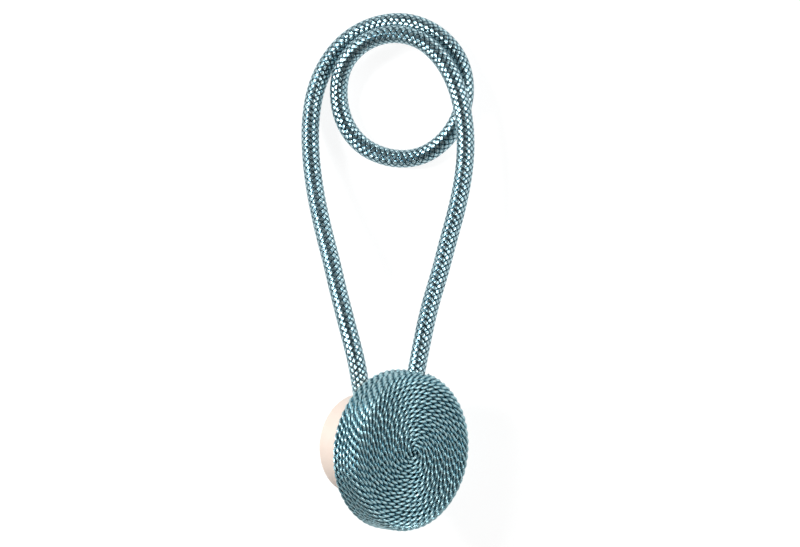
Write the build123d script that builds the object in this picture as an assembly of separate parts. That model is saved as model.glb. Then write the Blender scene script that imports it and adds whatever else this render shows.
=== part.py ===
# Curtain tieback: a disc covered in wound cord and a plain drum, held face to face by magnets,
# with one braided cord running from the drum, round a ring, and back into the disc.
# It lies as it comes to rest, on the disc's rim and the drum's rear edge, with the cord on the ground.
import os
from math import acos, atan2, cos, degrees, hypot, pi, radians, sin, tan

from build123d import *

# Cord, in millimetres
cord_radius = 4.0
cord_clearance = 0.1  # round the cord in its sockets
cord_lead = 21.0  # straight run from a socket's floor
ground_gap = 0.1  # under the cord where it lies
bend_share = 0.45  # of the shorter run, taken up by each bend

# Sockets that hold the cord's ends
socket_depth = 10.0  # from the outside of the disc or drum
socket_wall = 1.5
socket_floor = 1.6
socket_gap = 0.3  # between a socket and the plate below it
socket_headroom = 0.1  # between the bore and the shell's top

# Disc: a shell, its wound cord, and the plate that closes it
disc_radius = 35.0  # over the turns
shoulder_radius = 4.8
yarn_thickness = 2.0
turn_pitch = 2.05
groove_depth = 0.7
shell_wall = 2.4
shell_top = 2.0
shell_lip = 1.2
plate_thickness = 2.0
glue_line = 0.1  # between the shell and the turns
front_turn = -4.0  # degrees that the disc's socket dips below level

# Drum: a cup and the cover that closes it
drum_radius = 21.5
drum_wall = 2.4
drum_back = 2.0
drum_lip = 1.2
drum_edge = 1.5
drum_room = 1.4  # between the socket and the drum's back
cover_thickness = 2.0
rear_socket_back = 13.0  # from the meeting plane to the cord's axis
rear_turn = 20.0  # degrees that the drum's socket rises above level

# Magnets, one behind each half's meeting face
magnet_radius = 11.0
magnet_thickness = 3.0
magnet_skin = 0.8  # left between a magnet and the meeting plane
magnet_clearance = 0.1
magnet_cup_wall = 1.4
seat_clearance = 0.15  # round a plate in its mouth

# Sizes that follow from those
bore_radius = cord_radius + cord_clearance
boss_radius = bore_radius + socket_wall
front_socket_up = plate_thickness + socket_gap + boss_radius
shell_height = front_socket_up + bore_radius + socket_headroom + shell_top
disc_height = shell_height + glue_line + yarn_thickness
shell_radius = disc_radius - yarn_thickness - glue_line
drum_length = rear_socket_back + boss_radius + drum_room + drum_back
lie = cord_radius + ground_gap

# Cord route from the drum's socket to the disc's: along the left leg and down to the ground, over the top,
# round the ring, over itself at the right, and along the right leg, which the ring holds off the ground
cord_route = [
    (-24, 46.5, 31.5), (-31.5, 62, 28), (-38.5, 77, 23.5), (-46, 92, 19), (-52.5, 107, 14.5),
    (-57.5, 122, 10.5), (-60.5, 136.5, 7), (-60.5, 150.5, 5), (-56.5, 163.5, lie), (-48.5, 174.5, lie),
    (-36.5, 182, lie),
    (-22.5, 184.5, lie), (-9, 180.5, lie), (1.5, 171.5, lie), (6.5, 159, lie), (5.5, 145.5, lie),
    (-0.5, 134, lie), (-10.5, 126, lie), (-23.5, 124, lie), (-36.5, 127.5, lie), (-46, 136.5, lie),
    (-50.5, 149, 4.6), (-49, 162, 8.4), (-41, 172.5, 11), (-28.5, 178.5, 11.4), (-15, 177.5, 11.6),
    (-4, 170, 11.8), (4, 159.5, 13), (9, 147, 13), (12, 134, 13.5), (13, 120.5, 15), (12.5, 106.5, 17),
    (11, 92, 19.5), (10, 78, 22.5), (8.5, 63.5, 26.5),
]

# The turns' line, from the middle of the face, over the shoulder and down the side
face_flat = disc_radius - shoulder_radius
side_height = disc_height - shoulder_radius
shoulder_length = shoulder_radius * pi / 2
turn_count = round((face_flat + shoulder_length + side_height) / turn_pitch)
half_turn = (face_flat + shoulder_length + side_height) / turn_count / 2


def turned(outline):
    # A closed outline of (radius, height) corners, turned about the clasp's axis
    return revolve(make_face(Polyline(*[(r, 0, z) for r, z in outline], close=True)), Axis.Z)


def round_bar(radius, low, high):
    return extrude(Plane.XY.offset(low) * Circle(radius), high - low)


def radial_bar(radius, height, inner, outer):
    # A bar towards +Y at a height on the clasp's axis
    return extrude(Plane((0, inner, height), z_dir=(0, 1, 0)) * Circle(radius), outer - inner)


def on_turns_line(distance, depth):
    # The point at a distance along the turns' line, sunk by a depth
    if distance <= face_flat:
        return distance, disc_height - depth
    if distance <= face_flat + shoulder_length:
        angle = (distance - face_flat) / shoulder_radius
        reach = shoulder_radius - depth
        return face_flat + reach * sin(angle), side_height + reach * cos(angle)
    return disc_radius - depth, side_height - (distance - face_flat - shoulder_length)


def make_winding():
    # One ridge for each turn, crest at odd half turns and groove at even ones
    crests = [on_turns_line(k * half_turn, 0 if k % 2 else groove_depth) for k in range(2 * turn_count + 1)]
    inside = [
        (disc_radius - yarn_thickness, 0),
        (disc_radius - yarn_thickness, side_height),
        (face_flat, disc_height - yarn_thickness),
        (0, disc_height - yarn_thickness),
    ]
    hole = radial_bar(bore_radius, front_socket_up, disc_radius - socket_depth, disc_radius + yarn_thickness)
    return turned(crests + inside) - hole


def make_shell():
    side = side_height - glue_line
    body = turned([
        (0, 0), (shell_radius, 0), (shell_radius, side),
        (face_flat - glue_line, shell_height), (0, shell_height),
    ])
    floor = disc_radius - socket_depth
    boss = radial_bar(boss_radius, front_socket_up, floor - socket_floor, disc_radius) & body
    hollow = round_bar(shell_radius - shell_wall, plate_thickness, shell_height - shell_top)
    mouth = round_bar(shell_radius - shell_lip, 0, plate_thickness)
    bore = radial_bar(bore_radius, front_socket_up, floor, disc_radius + yarn_thickness)
    return body - hollow - mouth + boss - bore


def make_cover(radius, thickness):
    # A closing plate with its magnet's cup, lying on the meeting plane
    cup_radius = magnet_radius + magnet_clearance
    cup = round_bar(cup_radius + magnet_cup_wall, 0, magnet_skin + magnet_thickness)
    pocket = round_bar(cup_radius, magnet_skin, magnet_skin + magnet_thickness)
    return round_bar(radius - seat_clearance, 0, thickness) + cup - pocket


def make_magnet():
    return round_bar(magnet_radius, magnet_skin, magnet_skin + magnet_thickness)


def make_drum():
    # Built with its mouth at the meeting plane and its back below
    body = round_bar(drum_radius, -drum_length, 0)
    body = fillet(body.edges().group_by(Axis.Z)[0], drum_edge)
    floor = drum_radius - socket_depth
    boss = radial_bar(boss_radius, -rear_socket_back, floor - socket_floor, drum_radius) & body
    hollow = round_bar(drum_radius - drum_wall, drum_back - drum_length, -cover_thickness)
    mouth = round_bar(drum_radius - drum_lip, -cover_thickness, 0)
    bore = radial_bar(bore_radius, -rear_socket_back, floor, drum_radius + drum_wall)
    return body - hollow - mouth + boss - bore


def corner_radii(points):
    # Each bend as large as its two runs allow
    runs = [end - start for start, end in zip(points, points[1:])]
    return [
        bend_share * min(before.length, after.length) / tan(radians(before.get_angle(after)) / 2)
        for before, after in zip(runs, runs[1:])
    ]


def make_cord(points):
    radii = corner_radii(points)
    path = FilletPolyline(*points, radius=radii)
    cord = sweep(Plane(path @ 0, z_dir=path % 0) * Circle(cord_radius), path=path)
    print("cord bends", [round(radius, 1) for radius in radii], "length", round(path.length, 1))
    print("cord volume", round(cord.volume), "section by length", round(pi * cord_radius**2 * path.length))
    return cord


# The clasp's lean at rest: the last turn's crest and the drum's rounded edge both on the ground
rest_along = half_turn + drum_length - drum_edge
rest_across = disc_radius - (drum_radius - drum_edge)
rest_lean = degrees(acos(drum_edge / hypot(rest_along, rest_across)) - atan2(rest_along, rest_across))
axis_height = disc_radius * cos(radians(rest_lean)) - half_turn * sin(radians(rest_lean))

front_half = Rot(0, 0, front_turn)
rear_half = Rot(0, 0, rear_turn)
rear_facing = Rot(180, 0, 0)  # turns a cover or magnet to the drum's side of the meeting plane
pieces = {
    "front_winding": front_half * make_winding(),
    "front_shell": front_half * make_shell(),
    "front_plate": make_cover(shell_radius - shell_lip, plate_thickness),
    "front_magnet": make_magnet(),
    "rear_drum": rear_half * make_drum(),
    "rear_cover": rear_facing * make_cover(drum_radius - drum_lip, cover_thickness),
    "rear_magnet": rear_facing * make_magnet(),
}

# Laid on the ground, with the clasp's box centred over the origin
lean = Pos(0, 0, axis_height) * Rot(0, 90 - rest_lean, 0)
clasp_box = (lean * Compound([pieces["front_winding"], pieces["rear_drum"]])).bounding_box()
rest = Pos(-clasp_box.center().X, 0, 0) * lean
pieces = {name: rest * piece for name, piece in pieces.items()}


def socket_points(half, radius, height):
    # A cord end's two points: the socket's floor, and the end of its straight run
    floor = radius - socket_depth
    return [(rest * half * Pos(0, reach, height)).position for reach in (floor, floor + cord_lead)]


rear_end = socket_points(rear_half, drum_radius, -rear_socket_back)
front_end = socket_points(front_half, disc_radius, front_socket_up)
pieces["braided_cord"] = make_cord(rear_end + [Vector(*point) for point in cord_route] + front_end[::-1])

os.makedirs("parts", exist_ok=True)
for name, piece in pieces.items():
    export_step(piece, f"parts/{name}.step")
print("turns", turn_count, "lean", round(rest_lean, 2), "axis height", round(axis_height, 2))
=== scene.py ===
import math

import bpy
from mathutils import Matrix, Vector


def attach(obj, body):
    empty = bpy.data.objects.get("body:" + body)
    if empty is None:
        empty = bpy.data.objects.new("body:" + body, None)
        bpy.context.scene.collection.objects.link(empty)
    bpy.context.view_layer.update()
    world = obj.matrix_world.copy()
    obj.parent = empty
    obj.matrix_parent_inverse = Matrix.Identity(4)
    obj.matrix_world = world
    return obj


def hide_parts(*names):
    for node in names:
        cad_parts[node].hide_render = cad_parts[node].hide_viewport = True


# Curtain tieback: twisted satin cord wound over a magnetic disc, a plain drum behind it,
# and one braided satin cord from the drum, round a ring and back into the disc
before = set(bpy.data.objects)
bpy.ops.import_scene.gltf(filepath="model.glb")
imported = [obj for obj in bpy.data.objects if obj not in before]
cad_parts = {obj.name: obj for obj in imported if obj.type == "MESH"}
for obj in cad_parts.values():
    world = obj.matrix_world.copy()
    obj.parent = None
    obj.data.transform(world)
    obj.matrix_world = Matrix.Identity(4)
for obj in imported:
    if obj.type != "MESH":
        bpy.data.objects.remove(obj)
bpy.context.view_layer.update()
scene = bpy.context.scene
scene.view_settings.view_transform = "Standard"
tau = 2 * math.pi


class Wire:
    # One output socket of a node tree. Sums on it add Math nodes to the tree.
    def __init__(self, tree, socket=None):
        self.tree = tree
        self.socket = socket

    def node(self, kind, settings=None, sockets=None, out=0):
        made = self.tree.nodes.new(kind)
        for name, value in (settings or {}).items():
            if name == "stops":
                ramp = made.color_ramp.elements
                while len(ramp) < len(value):
                    ramp.new(1)
                for stop, (place, colour) in zip(ramp, value):
                    stop.position, stop.color = place, colour
            else:
                setattr(made, name, value)
        for name, value in (sockets or {}).items():
            socket = self.pick(made.inputs, name)
            for item in value if isinstance(value, list) else [value]:
                if isinstance(item, Wire):
                    self.tree.links.new(item.socket, socket)
                else:
                    socket.default_value = item
        outputs = made.outputs
        return Wire(self.tree, self.pick(outputs, out)) if outputs else made

    def pick(self, sockets, name):
        if isinstance(name, int):
            return sockets[name]
        return next(socket for socket in sockets if socket.name == name and socket.enabled)

    def also(self, out):
        # another output of the same node
        return Wire(self.tree, self.pick(self.socket.node.outputs, out))

    def maths(self, operation, *values):
        return self.node("ShaderNodeMath", {"operation": operation}, dict(enumerate(values)))

    def vector(self, operation, *values):
        return self.node("ShaderNodeVectorMath", {"operation": operation}, dict(enumerate(values)))

    def scaled(self, factor):
        return self.node("ShaderNodeVectorMath", {"operation": "SCALE"}, {"Vector": self, "Scale": factor})

    def __add__(self, other):
        return self.maths("ADD", self, other)

    def __radd__(self, other):
        return self.maths("ADD", other, self)

    def __sub__(self, other):
        return self.maths("SUBTRACT", self, other)

    def __rsub__(self, other):
        return self.maths("SUBTRACT", other, self)

    def __mul__(self, other):
        return self.maths("MULTIPLY", self, other)

    def __rmul__(self, other):
        return self.maths("MULTIPLY", other, self)

    def __truediv__(self, other):
        return self.maths("DIVIDE", self, other)

    def __rtruediv__(self, other):
        return self.maths("DIVIDE", other, self)

    def __mod__(self, other):
        return self.maths("MODULO", self, other)

    def __rmod__(self, other):
        return self.maths("MODULO", other, self)


# Camera, at the photograph's angle
shot = {
    "lean": 14.4,  # degrees from straight above, towards the disc's face
    "roll": 7.5,  # degrees
    "distance": 6.0,
    "across": 0.3445,  # what the picture's width spans at the point looked at
    "lookAt": (-0.0026, 0.0754, 0.0419),
    "clipEnd": 50,
}


def makeCamera():
    lean, roll = math.radians(shot["lean"]), math.radians(shot["roll"])
    back = Vector((math.sin(lean), 0, math.cos(lean)))
    level = Vector((math.cos(lean), 0, -math.sin(lean)))
    ahead = Vector((0, 1, 0))
    right = level * math.cos(roll) + ahead * math.sin(roll)
    up = ahead * math.cos(roll) - level * math.sin(roll)
    data = bpy.data.cameras.new("camera")
    data.lens = data.sensor_width * shot["distance"] / shot["across"]
    data.clip_end = shot["clipEnd"]
    camera = bpy.data.objects.new("camera", data)
    turn = Matrix((right, up, back)).transposed().to_4x4()
    camera.matrix_world = Matrix.Translation(Vector(shot["lookAt"]) + back * shot["distance"]) @ turn
    scene.collection.objects.link(camera)
    scene.camera = camera


makeCamera()
print("camera set")


def newMaterial(name):
    material = bpy.data.materials.new(name)
    material.use_nodes = True
    material.node_tree.nodes.clear()
    return material, Wire(material.node_tree)


def finishMaterial(wire, principled):
    shader = wire.node("ShaderNodeBsdfPrincipled", {}, principled)
    wire.node("ShaderNodeOutputMaterial", {}, {"Surface": shader})


# Satin yarn, wound over the disc and braided in the cord
satin = {
    "fibreAcross": 9000,  # noise scale across the fibres, a metre
    "fibreAlong": 160,
    "strandShift": 17.3,  # sets the fibres of one strand apart from the next one's
    "slubShift": 5.7,
    "stops": (0.30, 0.50, 0.72),  # shades that get the deep, middle and pale colours
    "bumpStrength": 0.8,
    "bumpStep": 0.01,  # fine enough to keep the fibres' direction
    "roughSpread": 0.15,
    "gloss": 0.6,
    "wound": {
        "deep": (0.035, 0.130, 0.180, 1),
        "middle": (0.315, 0.555, 0.615, 1),
        "pale": (0.580, 0.805, 0.840, 1),
        "slubAlong": 60, "fibreShare": 0.3, "slubShare": 0.3, "paintedCreviceShade": 0.24,
        "bumpDepth": 0.00016, "roughness": 0.29, "metallic": 0.75,
    },
    "braid": {
        "deep": (0.006, 0.045, 0.075, 1),
        "middle": (0.360, 0.580, 0.645, 1),
        "pale": (0.760, 0.910, 0.935, 1),
        "slubAlong": 90, "fibreShare": 0.15, "slubShare": 0.15, "paintedCreviceShade": 0.32,
        "bumpDepth": 0.00013, "roughness": 0.26, "metallic": 0.93,
    },
}


def satinYarn(name, yarn):
    # filament yarn: fine lines along each strand, with slow changes of shade, and painted shade in the
    # crevices where each strand dives under the next, paler on its crest
    material, wire = newMaterial(name)
    section = wire.node("ShaderNodeAttribute", {"attribute_name": "strandSection"}, out="Vector")
    along = wire.node("ShaderNodeAttribute", {"attribute_name": "strandLength"}, out="Fac")
    strand = wire.node("ShaderNodeAttribute", {"attribute_name": "strandNumber"}, out="Fac")
    across = wire.node("ShaderNodeSeparateXYZ", {}, {"Vector": section}, out="X")
    upward = across.also("Y")
    place = wire.node("ShaderNodeCombineXYZ", {}, {
        "X": across * satin["fibreAcross"] + strand * satin["strandShift"],
        "Y": upward * satin["fibreAcross"],
        "Z": along * satin["fibreAlong"],
    })
    fibres = wire.node("ShaderNodeTexNoise", {},
                       {"Vector": place, "Scale": 1, "Detail": 1, "Roughness": 0.5}, out="Fac")
    crown = wire.node("ShaderNodeAttribute", {"attribute_name": "strandCrown"}, out="Fac")
    slow = wire.node("ShaderNodeCombineXYZ", {},
                     {"X": along * yarn["slubAlong"], "Y": strand * satin["slubShift"]})
    slubs = wire.node("ShaderNodeTexNoise", {}, {"Vector": slow, "Scale": 1, "Detail": 1}, out="Fac")
    shade = 0.5 + yarn["fibreShare"] * (fibres - 0.5) + yarn["slubShare"] * (slubs - 0.5)
    # painted shade: darker where the strand dives under the next one and on the underside of each ply,
    # paler on the crest
    shade = shade + yarn["paintedCreviceShade"] * (crown - 0.5)  # darker where it dives under the next one
    stops = list(zip(satin["stops"], (yarn["deep"], yarn["middle"], yarn["pale"])))
    colour = wire.node("ShaderNodeValToRGB", {"stops": stops}, {"Fac": shade}, out="Color")
    bump = wire.node("ShaderNodeBump", {}, {
        "Strength": satin["bumpStrength"], "Distance": yarn["bumpDepth"], "Filter Width": satin["bumpStep"],
        "Height": fibres,
    })
    finishMaterial(wire, {
        "Base Color": colour,
        "Roughness": yarn["roughness"] + satin["roughSpread"] * (fibres - 0.5),
        "Normal": bump,
        "Metallic": yarn["metallic"],
        "Specular IOR Level": satin["gloss"],
    })
    return material


# Moulded plastic
plastic = {
    "peach": (0.880, 0.755, 0.670, 1),
    "peachWarm": (0.850, 0.712, 0.618, 1),
    "core": (0.020, 0.075, 0.095, 1),
    "coreLight": (0.035, 0.105, 0.128, 1),
    "peachRoughness": 0.45,
    "coreRoughness": 0.55,
    "flowScale": 55,
    "flowBend": 0.8,
    "flowRough": 0.1,  # change of roughness with the flow marks
    "grainScale": 2600,
    "grainRough": 0.18,
    "grainStrength": 0.35,
    "grainDepth": 0.00006,
    "stops": (0.35, 0.65),
    "gloss": 0.45,
}


def mouldedPlastic(name, light, dark, roughness):
    # satin moulded skin: faint flow marks in its colour and a fine spark-eroded grain
    material, wire = newMaterial(name)
    place = wire.node("ShaderNodeTexCoord", out="Object")
    flow = wire.node("ShaderNodeTexNoise", {}, {
        "Vector": place, "Scale": plastic["flowScale"], "Detail": 3, "Distortion": plastic["flowBend"],
    }, out="Fac")
    grain = wire.node("ShaderNodeTexNoise", {},
                      {"Vector": place, "Scale": plastic["grainScale"], "Detail": 2}, out="Fac")
    stops = list(zip(plastic["stops"], (dark, light)))
    colour = wire.node("ShaderNodeValToRGB", {"stops": stops}, {"Fac": flow}, out="Color")
    bump = wire.node("ShaderNodeBump", {}, {
        "Strength": plastic["grainStrength"], "Distance": plastic["grainDepth"], "Height": grain,
    })
    finishMaterial(wire, {
        "Base Color": colour,
        "Roughness": (
            roughness + plastic["grainRough"] * (grain - 0.5) + plastic["flowRough"] * (flow - 0.5)),
        "Normal": bump,
        "Specular IOR Level": plastic["gloss"],
    })
    return material


packed = {
    "scale": 3000,
    "stops": (0.35, 0.65),
    "bumpStrength": 0.6,
    "bumpDepth": 0.0001,
    "roughness": 0.75,
    "roughSpread": 0.2,
    "gloss": 0.2,
}


def packedYarn(name, light, dark):
    # dull packed filaments that fill the braid, seen only between its strands; their near-black colour is
    # painted shade for the gaps between the strands
    material, wire = newMaterial(name)
    place = wire.node("ShaderNodeTexCoord", out="Object")
    lines = wire.node("ShaderNodeTexNoise", {},
                      {"Vector": place, "Scale": packed["scale"], "Detail": 2}, out="Fac")
    stops = list(zip(packed["stops"], (dark, light)))
    colour = wire.node("ShaderNodeValToRGB", {"stops": stops}, {"Fac": lines}, out="Color")
    bump = wire.node("ShaderNodeBump", {}, {
        "Strength": packed["bumpStrength"], "Distance": packed["bumpDepth"], "Height": lines,
    })
    finishMaterial(wire, {
        "Base Color": colour,
        "Roughness": packed["roughness"] + packed["roughSpread"] * (lines - 0.5),
        "Normal": bump,
        "Specular IOR Level": packed["gloss"],
    })
    return material


plated = {
    "dull": (0.48, 0.47, 0.44, 1),
    "bright": (0.66, 0.65, 0.62, 1),
    "stops": (0.3, 0.7),
    "patchScale": 160,
    "scratchScale": (900, 6000, 900),
    "scratchStrength": 0.2,
    "scratchDepth": 0.00002,
    "roughness": 0.22,
    "patchRough": 0.2,
}


def platedMagnet(name):
    # nickel plate with fine polishing scratches and a few dull patches
    material, wire = newMaterial(name)
    place = wire.node("ShaderNodeTexCoord", out="Object")
    streak = wire.node("ShaderNodeMapping", {}, {"Vector": place, "Scale": plated["scratchScale"]})
    scratches = wire.node("ShaderNodeTexNoise", {}, {"Vector": streak, "Scale": 1, "Detail": 3}, out="Fac")
    patches = wire.node("ShaderNodeTexNoise", {},
                        {"Vector": place, "Scale": plated["patchScale"], "Detail": 2}, out="Fac")
    stops = list(zip(plated["stops"], (plated["dull"], plated["bright"])))
    colour = wire.node("ShaderNodeValToRGB", {"stops": stops}, {"Fac": patches}, out="Color")
    bump = wire.node("ShaderNodeBump", {}, {
        "Strength": plated["scratchStrength"], "Distance": plated["scratchDepth"], "Height": scratches,
    })
    finishMaterial(wire, {
        "Base Color": colour,
        "Roughness": plated["roughness"] + plated["patchRough"] * patches,
        "Metallic": 1.0,
        "Normal": bump,
    })
    return material


woundSatin = satinYarn("woundSatin", satin["wound"])
braidSatin = satinYarn("braidSatin", satin["braid"])
peachPlastic = mouldedPlastic(
    "peachPlastic", plastic["peach"], plastic["peachWarm"], plastic["peachRoughness"])
corePlastic = mouldedPlastic(
    "corePlastic", plastic["coreLight"], plastic["core"], plastic["coreRoughness"])
# the braid's core, near black as painted shade in the gaps between the strands
gapShadeCoreYarn = packedYarn("gapShadeCoreYarn", plastic["coreLight"], plastic["core"])
magnetPlate = platedMagnet("magnetPlate")
print("materials made")


def newTree(name, inputs):
    # a Geometry Nodes tree with named inputs; gives the tree, its inputs and their identifiers
    group = bpy.data.node_groups.new(name, "GeometryNodeTree")
    group.interface.new_socket("Geometry", in_out="INPUT", socket_type="NodeSocketGeometry")
    group.interface.new_socket("Geometry", in_out="OUTPUT", socket_type="NodeSocketGeometry")
    for label, kind in inputs.items():
        group.interface.new_socket(label, in_out="INPUT", socket_type="NodeSocket" + kind)
    wire = Wire(group)
    start = wire.node("NodeGroupInput")
    return group, wire, {label: start.also(label) for label in ["Geometry", *inputs]}


def crossFrame(wire):
    # the path's own two cross directions
    normal = wire.node("GeometryNodeInputNormal", out="Normal")
    tangent = wire.node("GeometryNodeInputTangent")
    return normal, wire.vector("CROSS_PRODUCT", tangent, normal)


def around(wire, frameAxes, angle):
    normal, binormal = frameAxes
    first = normal.scaled(wire.maths("COSINE", angle))
    second = binormal.scaled(wire.maths("SINE", angle))
    return wire.vector("ADD", first, second)


def keep(wire, geometry, name, value, kind="FLOAT"):
    return wire.node("GeometryNodeStoreNamedAttribute", {"data_type": kind, "domain": "POINT"},
                     {"Geometry": geometry, "Name": name, "Value": value})


def strandMesh(wire, curve, profile):
    mesh = wire.node("GeometryNodeCurveToMesh", {},
                     {"Curve": curve, "Profile Curve": profile, "Fill Caps": True})
    return wire.node("GeometryNodeSetShadeSmooth", {}, {"Geometry": mesh})


def dressed(wire, mesh, material):
    real = wire.node("GeometryNodeRealizeInstances", {}, {"Geometry": mesh})
    return wire.node("GeometryNodeSetMaterial", {}, {"Geometry": real, "Material": material})


def runTree(host, group, values):
    # sets the tree's inputs, evaluates it once and gives the host the plain mesh
    modifier = host.modifiers.new(group.name, "NODES")
    modifier.node_group = group
    for item in group.interface.items_tree:
        if item.in_out == "INPUT" and item.name in values:
            modifier[item.identifier] = values[item.name]
    depsgraph = bpy.context.evaluated_depsgraph_get()
    made = bpy.data.meshes.new_from_object(
        host.evaluated_get(depsgraph), preserve_all_data_layers=True, depsgraph=depsgraph)
    host.modifiers.remove(modifier)
    host.data = made
    made.name = host.name
    print(host.name, "triangles", sum(len(face.vertices) - 2 for face in made.polygons))
    return host


def pathObject(name, paths, outwards=()):
    # open lines of points as a mesh of edges, with the way out of the surface below each point
    points = [point for path in paths for point in path]
    edges, first = [], 0
    for path in paths:
        edges += [(first + k, first + k + 1) for k in range(len(path) - 1)]
        first += len(path)
    mesh = bpy.data.meshes.new(name)
    mesh.from_pydata(points, edges, [])
    if outwards:
        outward = mesh.attributes.new("outward", "FLOAT_VECTOR", "POINT")
        outward.data.foreach_set("vector", [part for way in outwards for part in way])
    holder = bpy.data.objects.new(name, mesh)
    scene.collection.objects.link(holder)
    return holder


# Braided cord
cord = {
    "diameter": 0.008,
    "length": 0.5567,
    "exit": (-0.01533, 0.02020, 0.02873),  # on the drum's side
    "strands": 16,
    "stitch": 0.00264,  # along the cord, over one and under one
    "samples": 5,  # of each strand in a stitch
    "middleRadius": 0.00366,
    "rise": 0.00004,
    "halfWidth": 0.00096,
    "halfThickness": 0.00022,
    "strandSides": 5,
    "coreRadius": 0.00335,
    "coreSides": 8,
    "splineSteps": 12,
    "route": [
        (-0.0135345, 0.0108065, 0.025815), (-0.0172975, 0.03054, 0.0319328), (-0.024, 0.0465, 0.0315),
        (-0.0315, 0.062, 0.028), (-0.0385, 0.077, 0.0235), (-0.046, 0.092, 0.019),
        (-0.0525, 0.107, 0.0145), (-0.0575, 0.122, 0.0105), (-0.0605, 0.1365, 0.007),
        (-0.0605, 0.1505, 0.005), (-0.0565, 0.1635, 0.0041), (-0.0485, 0.1745, 0.0041),
        (-0.0365, 0.182, 0.0041), (-0.0225, 0.1845, 0.0041), (-0.009, 0.1805, 0.0041),
        (0.0015, 0.1715, 0.0041), (0.0065, 0.159, 0.0041), (0.0055, 0.1455, 0.0041),
        (-0.0005, 0.134, 0.0041), (-0.0105, 0.126, 0.0041), (-0.0235, 0.124, 0.0041),
        (-0.0365, 0.1275, 0.0041), (-0.046, 0.1365, 0.0041), (-0.0505, 0.149, 0.0046),
        (-0.049, 0.162, 0.0084), (-0.041, 0.1725, 0.011), (-0.0285, 0.1785, 0.0114),
        (-0.015, 0.1775, 0.0116), (-0.004, 0.17, 0.0118), (0.004, 0.1595, 0.013),
        (0.009, 0.147, 0.013), (0.012, 0.134, 0.0135), (0.013, 0.1205, 0.015), (0.0125, 0.1065, 0.017),
        (0.011, 0.092, 0.0195), (0.010, 0.078, 0.0225), (0.0085, 0.0635, 0.0265),
        (0.0080093, 0.0458879, 0.0306814), (0.0072418, 0.0249391, 0.0319292),
    ],
}


def readRoute(points):
    # the route's smooth line, as points along its spline
    data = bpy.data.curves.new("cordRoute", "CURVE")
    data.dimensions = "3D"
    spline = data.splines.new("NURBS")
    spline.points.add(len(points) - 1)
    for point, place in zip(spline.points, points):
        point.co = (*place, 1)
    spline.order_u = 3
    spline.use_endpoint_u = True
    spline.resolution_u = cord["splineSteps"]
    holder = bpy.data.objects.new("cordRoute", data)
    scene.collection.objects.link(holder)
    depsgraph = bpy.context.evaluated_depsgraph_get()
    line = bpy.data.meshes.new_from_object(holder.evaluated_get(depsgraph), depsgraph=depsgraph)
    read = [vertex.co.copy() for vertex in line.vertices]
    bpy.data.objects.remove(holder)
    bpy.data.meshes.remove(line)
    return read


def braidTree():
    # half the strands turn one way and half the other, each over one and under one
    group, wire, given = newTree("braidStrands", {
        "Strands": "Int", "Stitches": "Int", "Samples": "Int", "Middle Radius": "Float", "Rise": "Float",
        "Half Width": "Float", "Half Thickness": "Float", "Core Radius": "Float", "Material": "Material",
        "Core Material": "Material",
    })
    curve = wire.node("GeometryNodeMeshToCurve", {}, {"Mesh": given["Geometry"]})
    curve = wire.node("GeometryNodeResampleCurve", {"mode": "COUNT"},
                      {"Curve": curve, "Count": given["Stitches"] * given["Samples"] + 1})
    length = wire.node("GeometryNodeSplineParameter", out="Length")
    curve = keep(wire, curve, "strandLength", length)
    core = wire.node("GeometryNodeCurvePrimitiveCircle", {},
                     {"Resolution": cord["coreSides"], "Radius": given["Core Radius"]})
    coreMesh = dressed(wire, strandMesh(wire, curve, core), given["Core Material"])

    strands = wire.node("GeometryNodeDuplicateElements", {"domain": "SPLINE"},
                        {"Geometry": curve, "Amount": given["Strands"]})
    index = strands.also("Duplicate Index")
    way = 1 - 2 * (index % 2)
    half = given["Strands"] / 2
    crossing = wire.maths("FLOOR", index / 2) + way * length.also("Factor") * given["Stitches"]
    angle = crossing * tau / half
    outward = around(wire, crossFrame(wire), angle)
    crown = way * wire.maths("COSINE", crossing * tau)
    reach = given["Middle Radius"] + given["Rise"] * crown
    strands = keep(wire, strands, "strandNumber", index)
    # the crown is also kept for the yarn's painted shade in the crevices
    strands = keep(wire, strands, "strandCrown", crown)
    strands = keep(wire, strands, "strandReach", outward.scaled(reach), "FLOAT_VECTOR")
    # the strand's normals are set last, as the directions above are read from the path's own
    strands = wire.node("GeometryNodeSetCurveNormal", {"mode": "FREE"},
                        {"Curve": strands, "Normal": outward})
    moved = wire.node("GeometryNodeInputNamedAttribute", {"data_type": "FLOAT_VECTOR"},
                      {"Name": "strandReach"})
    strands = wire.node("GeometryNodeSetPosition", {}, {"Geometry": strands, "Offset": moved})

    profile = wire.node("GeometryNodeCurvePrimitiveCircle", {},
                        {"Resolution": cord["strandSides"], "Radius": 1.0})
    place = wire.node("GeometryNodeInputPosition")
    # the round section, flattened and turned half round
    flat = wire.node("ShaderNodeCombineXYZ", {},
                     {"X": -1 * given["Half Thickness"], "Y": -1 * given["Half Width"], "Z": 1})
    profile = wire.node("GeometryNodeSetPosition", {},
                        {"Geometry": profile, "Position": wire.vector("MULTIPLY", place, flat)})
    profile = keep(wire, profile, "strandSection", place, "FLOAT_VECTOR")
    strandsMesh = dressed(wire, strandMesh(wire, strands, profile), given["Material"])
    joined = wire.node("GeometryNodeJoinGeometry", {}, {"Geometry": [coreMesh, strandsMesh]})
    wire.node("NodeGroupOutput", {}, {"Geometry": joined})
    return group


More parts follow.
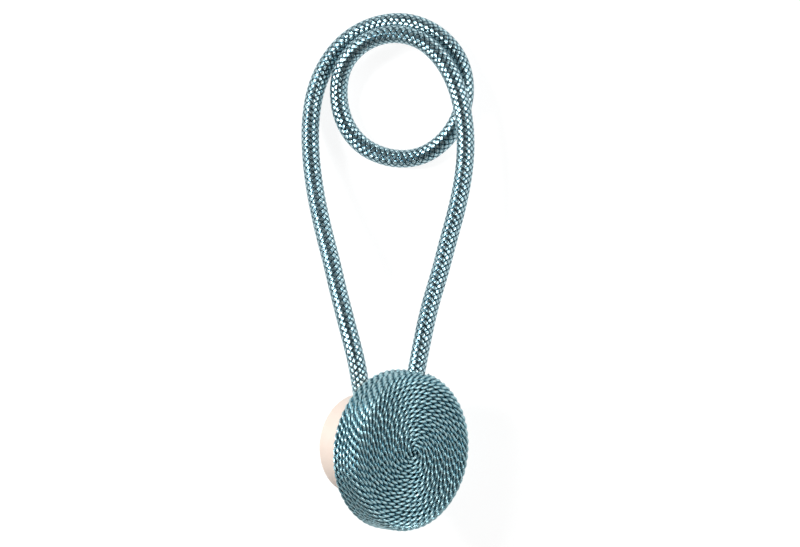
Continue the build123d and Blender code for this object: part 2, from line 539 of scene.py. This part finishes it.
def makeBraid():
    line = readRoute(cord["route"])
    length = sum((b - a).length for a, b in zip(line, line[1:]))
    print("cord spline length", round(length, 4), "points", len(line))
    braid = runTree(pathObject("braidedSatinCord", [line]), braidTree(), {
        "Strands": cord["strands"], "Stitches": round(length / cord["stitch"]), "Samples": cord["samples"],
        "Middle Radius": cord["middleRadius"], "Rise": cord["rise"], "Half Width": cord["halfWidth"],
        "Half Thickness": cord["halfThickness"], "Core Radius": cord["coreRadius"], "Material": braidSatin,
        "Core Material": gapShadeCoreYarn,
    })
    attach(braid, "root")
    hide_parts("braided_cord")


makeBraid()


# Cord wound over the disc
clasp = {
    "meeting": (-0.000401, 0, 0.029276),  # where the axis crosses the meeting plane
    "lean": 31.6,  # degrees of the axis above level
}

winding = {
    "discRadius": 0.035,
    "discHeight": 0.0162,
    "shoulder": 0.0048,
    "turns": 24,
    "depth": 0.00118,  # of the cord's middle below the outside
    "start": 0.3,  # turns left out at the middle of the face
    "endGap": 0.5,  # turns left out at the last one
    "endDegrees": 0,  # the last turn ends underneath
    "stepDegrees": 3,
    "holeHeight": 0.0079,  # of the braided cord's way in, above the meeting plane
    "holeDegrees": 86,
    "holeClear": 0.0049,
    "holeSide": 0.02,  # from the axis, past which the turns lie on the hole's side
    "plies": 2,
    "lay": 0.0069,  # along the cord, for one twist
    "plyRadius": 0.00056,
    "plySides": 7,
    "twistOut": 0.00046,
    "twistAside": 0.00062,
    "sample": 0.00062,
}


def onTurnsLine(distance, depth):
    # radius, height and slope at a distance from the face's middle, over the shoulder and down the side
    radius, height, bend = winding["discRadius"], winding["discHeight"], winding["shoulder"]
    flat, bendLength = radius - bend, bend * math.pi / 2
    if distance < flat:
        return distance, height - depth, 0
    angle = min((distance - flat) / bend, math.pi / 2)
    drop = max(distance - flat - bendLength, 0)
    reach = bend - depth
    return flat + reach * math.sin(angle), height - bend - drop + reach * math.cos(angle), angle


def woundPaths():
    # the spiral, stopped where the braided cord goes in
    place = Matrix.Translation(clasp["meeting"]) @ Matrix.Rotation(math.radians(90 - clasp["lean"]), 4, "Y")
    radius, bend = winding["discRadius"], winding["shoulder"]
    whole = radius - bend + bend * math.pi / 2 + winding["discHeight"] - bend
    pitch = whole / winding["turns"]
    last = math.radians(winding["endDegrees"])
    hole = math.radians(winding["holeDegrees"])
    wayIn = Vector((math.cos(hole), math.sin(hole), 0))
    steps = round(360 / winding["stepDegrees"])
    paths, outwards = [[]], []
    first, final = round(winding["start"] * steps), round((winding["turns"] - winding["endGap"]) * steps)
    for k in range(first, final + 1):
        turn = k / steps
        angle = last + tau * (turn - winding["turns"] + winding["endGap"])
        reach, height, slope = onTurnsLine(turn * pitch, winding["depth"])
        point = Vector((reach * math.cos(angle), reach * math.sin(angle), height))
        outward = Vector((
            math.sin(slope) * math.cos(angle), math.sin(slope) * math.sin(angle), math.cos(slope)))
        beside = point - wayIn * point.dot(wayIn) - Vector((0, 0, winding["holeHeight"]))
        if point.dot(wayIn) > winding["holeSide"] and beside.length < winding["holeClear"]:
            if paths[-1]:
                paths.append([])
        else:
            paths[-1].append(place @ point)
            outwards.append(place.to_3x3() @ outward)
    return paths, outwards


def twistTree():
    # plies laid round each other along the path, left-hand lay
    group, wire, given = newTree("twistedPlies", {
        "Plies": "Int", "Lay": "Float", "Ply Radius": "Float", "Twist Out": "Float", "Twist Aside": "Float",
        "Sample": "Float", "Material": "Material",
    })
    curve = wire.node("GeometryNodeMeshToCurve", {}, {"Mesh": given["Geometry"]})
    curve = wire.node("GeometryNodeResampleCurve", {"mode": "LENGTH"},
                      {"Curve": curve, "Length": given["Sample"]})
    length = wire.node("GeometryNodeSplineParameter", out="Length")
    curve = keep(wire, curve, "strandLength", length)
    strands = wire.node("GeometryNodeDuplicateElements", {"domain": "SPLINE"},
                        {"Geometry": curve, "Amount": given["Plies"]})
    index = strands.also("Duplicate Index")
    angle = (index / given["Plies"] - length / given["Lay"]) * tau
    strands = keep(wire, strands, "strandNumber", index)
    outward = wire.node("GeometryNodeInputNamedAttribute", {"data_type": "FLOAT_VECTOR"},
                        {"Name": "outward"})
    aside = wire.vector("CROSS_PRODUCT", wire.node("GeometryNodeInputTangent"), outward)
    crown = wire.maths("COSINE", angle)
    # the crown is kept for the yarn's painted shade between the plies
    strands = keep(wire, strands, "strandCrown", crown)
    strands = wire.node("GeometryNodeSetCurveNormal", {"mode": "FREE"},
                        {"Curve": strands, "Normal": outward})
    offset = wire.vector("ADD", outward.scaled(crown * given["Twist Out"]),
                         aside.scaled(wire.maths("SINE", angle) * given["Twist Aside"]))
    strands = wire.node("GeometryNodeSetPosition", {}, {"Geometry": strands, "Offset": offset})
    profile = wire.node("GeometryNodeCurvePrimitiveCircle", {},
                        {"Resolution": winding["plySides"], "Radius": given["Ply Radius"]})
    place = wire.node("GeometryNodeInputPosition")
    profile = keep(wire, profile, "strandSection", place, "FLOAT_VECTOR")
    plies = dressed(wire, strandMesh(wire, strands, profile), given["Material"])
    wire.node("NodeGroupOutput", {}, {"Geometry": plies})
    return group


def makeWinding():
    wound = runTree(pathObject("woundSatinCord", *woundPaths()), twistTree(), {
        "Plies": winding["plies"], "Lay": winding["lay"], "Ply Radius": winding["plyRadius"],
        "Twist Out": winding["twistOut"], "Twist Aside": winding["twistAside"], "Sample": winding["sample"],
        "Material": woundSatin,
    })
    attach(wound, "root")
    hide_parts("front_winding")


makeWinding()


# Moulded and plated pieces
finishes = {
    "front_shell": corePlastic,
    "front_plate": peachPlastic,
    "rear_drum": peachPlastic,
    "rear_cover": peachPlastic,
    "front_magnet": magnetPlate,
    "rear_magnet": magnetPlate,
}
for nodeName, finish in finishes.items():
    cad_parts[nodeName].data.materials.clear()
    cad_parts[nodeName].data.materials.append(finish)
print("plastic and magnets dressed")


# Floor and light
stage = {
    "floorSize": 6.0,
    "floorGlow": 0.90,
    "floorCatch": 0.22,
    "floorBounce": 0.5,
    "worldGrey": 0.08,
    "ceiling": 0.04,
    "wallFoot": 0.05,  # heights between which the white wall fades to the ceiling
    "wallTop": 0.25,
    "aim": (-0.01, 0.07, 0.02),  # what the lamps point at
}

lamps = [
    {"name": "leftSoftbox", "place": (-0.84, 0.24, 0.80), "size": (0.42, 0.42), "watts": 15},
    {"name": "rightSoftbox", "place": (0.88, 0.58, 0.54), "size": (0.5, 0.5), "watts": 7.5},
]


def seenRays(wire):
    # what the camera, gloss and clear pieces see, apart from what lights the object
    path = wire.node("ShaderNodeLightPath", out="Is Camera Ray")
    others = wire.maths("MAXIMUM", path.also("Is Glossy Ray"), path.also("Is Transmission Ray"))
    return wire.maths("MAXIMUM", path, others)


def makeFloor():
    half = stage["floorSize"] / 2
    mesh = bpy.data.meshes.new("floor")
    corners = [(-half, -half, 0), (half, -half, 0), (half, half, 0), (-half, half, 0)]
    mesh.from_pydata(corners, [], [(0, 1, 2, 3)])
    floor = bpy.data.objects.new("floor", mesh)
    scene.collection.objects.link(floor)
    material, wire = newMaterial("whiteFloor")
    seen = seenRays(wire)
    glow = wire.node("ShaderNodeEmission", {}, {"Color": (1, 1, 1, 1), "Strength": stage["floorGlow"]})
    catch = wire.node("ShaderNodeBsdfDiffuse", {}, {"Color": (stage["floorCatch"],) * 3 + (1,)})
    shown = wire.node("ShaderNodeAddShader", {}, {0: glow, 1: catch})
    bounce = wire.node("ShaderNodeBsdfDiffuse", {}, {"Color": (stage["floorBounce"],) * 3 + (1,)})
    mixed = wire.node("ShaderNodeMixShader", {}, {"Fac": seen, 1: bounce, 2: shown})
    wire.node("ShaderNodeOutputMaterial", {}, {"Surface": mixed})
    mesh.materials.append(material)


def makeLight():
    for lamp in lamps:
        data = bpy.data.lights.new(lamp["name"], "AREA")
        data.shape = "RECTANGLE"
        data.size, data.size_y = lamp["size"]
        data.energy = lamp["watts"]
        light = bpy.data.objects.new(lamp["name"], data)
        light.visible_camera = False
        aim = Vector(stage["aim"]) - Vector(lamp["place"])
        turn = aim.to_track_quat("-Z", "Y").to_matrix().to_4x4()
        light.matrix_world = Matrix.Translation(lamp["place"]) @ turn
        scene.collection.objects.link(light)
    world = bpy.data.worlds.new("studio")
    scene.world = world
    world.use_nodes = True
    world.node_tree.nodes.clear()
    wire = Wire(world.node_tree)
    seen = seenRays(wire)
    direction = wire.node("ShaderNodeTexCoord", out="Generated")
    height = wire.node("ShaderNodeSeparateXYZ", {}, {"Vector": direction}, out="Z")
    wall = wire.node("ShaderNodeMapRange", {"interpolation_type": "SMOOTHSTEP"}, {
        "Value": height, "From Min": stage["wallFoot"], "From Max": stage["wallTop"],
        "To Min": 1.0, "To Max": stage["ceiling"],
    })
    strength = stage["worldGrey"] * (1 - seen) + wall * seen
    sky = wire.node("ShaderNodeBackground", {}, {"Color": (1, 1, 1, 1), "Strength": strength})
    wire.node("ShaderNodeOutputWorld", {}, {"Surface": sky})


makeFloor()
makeLight()
print("stage lit")
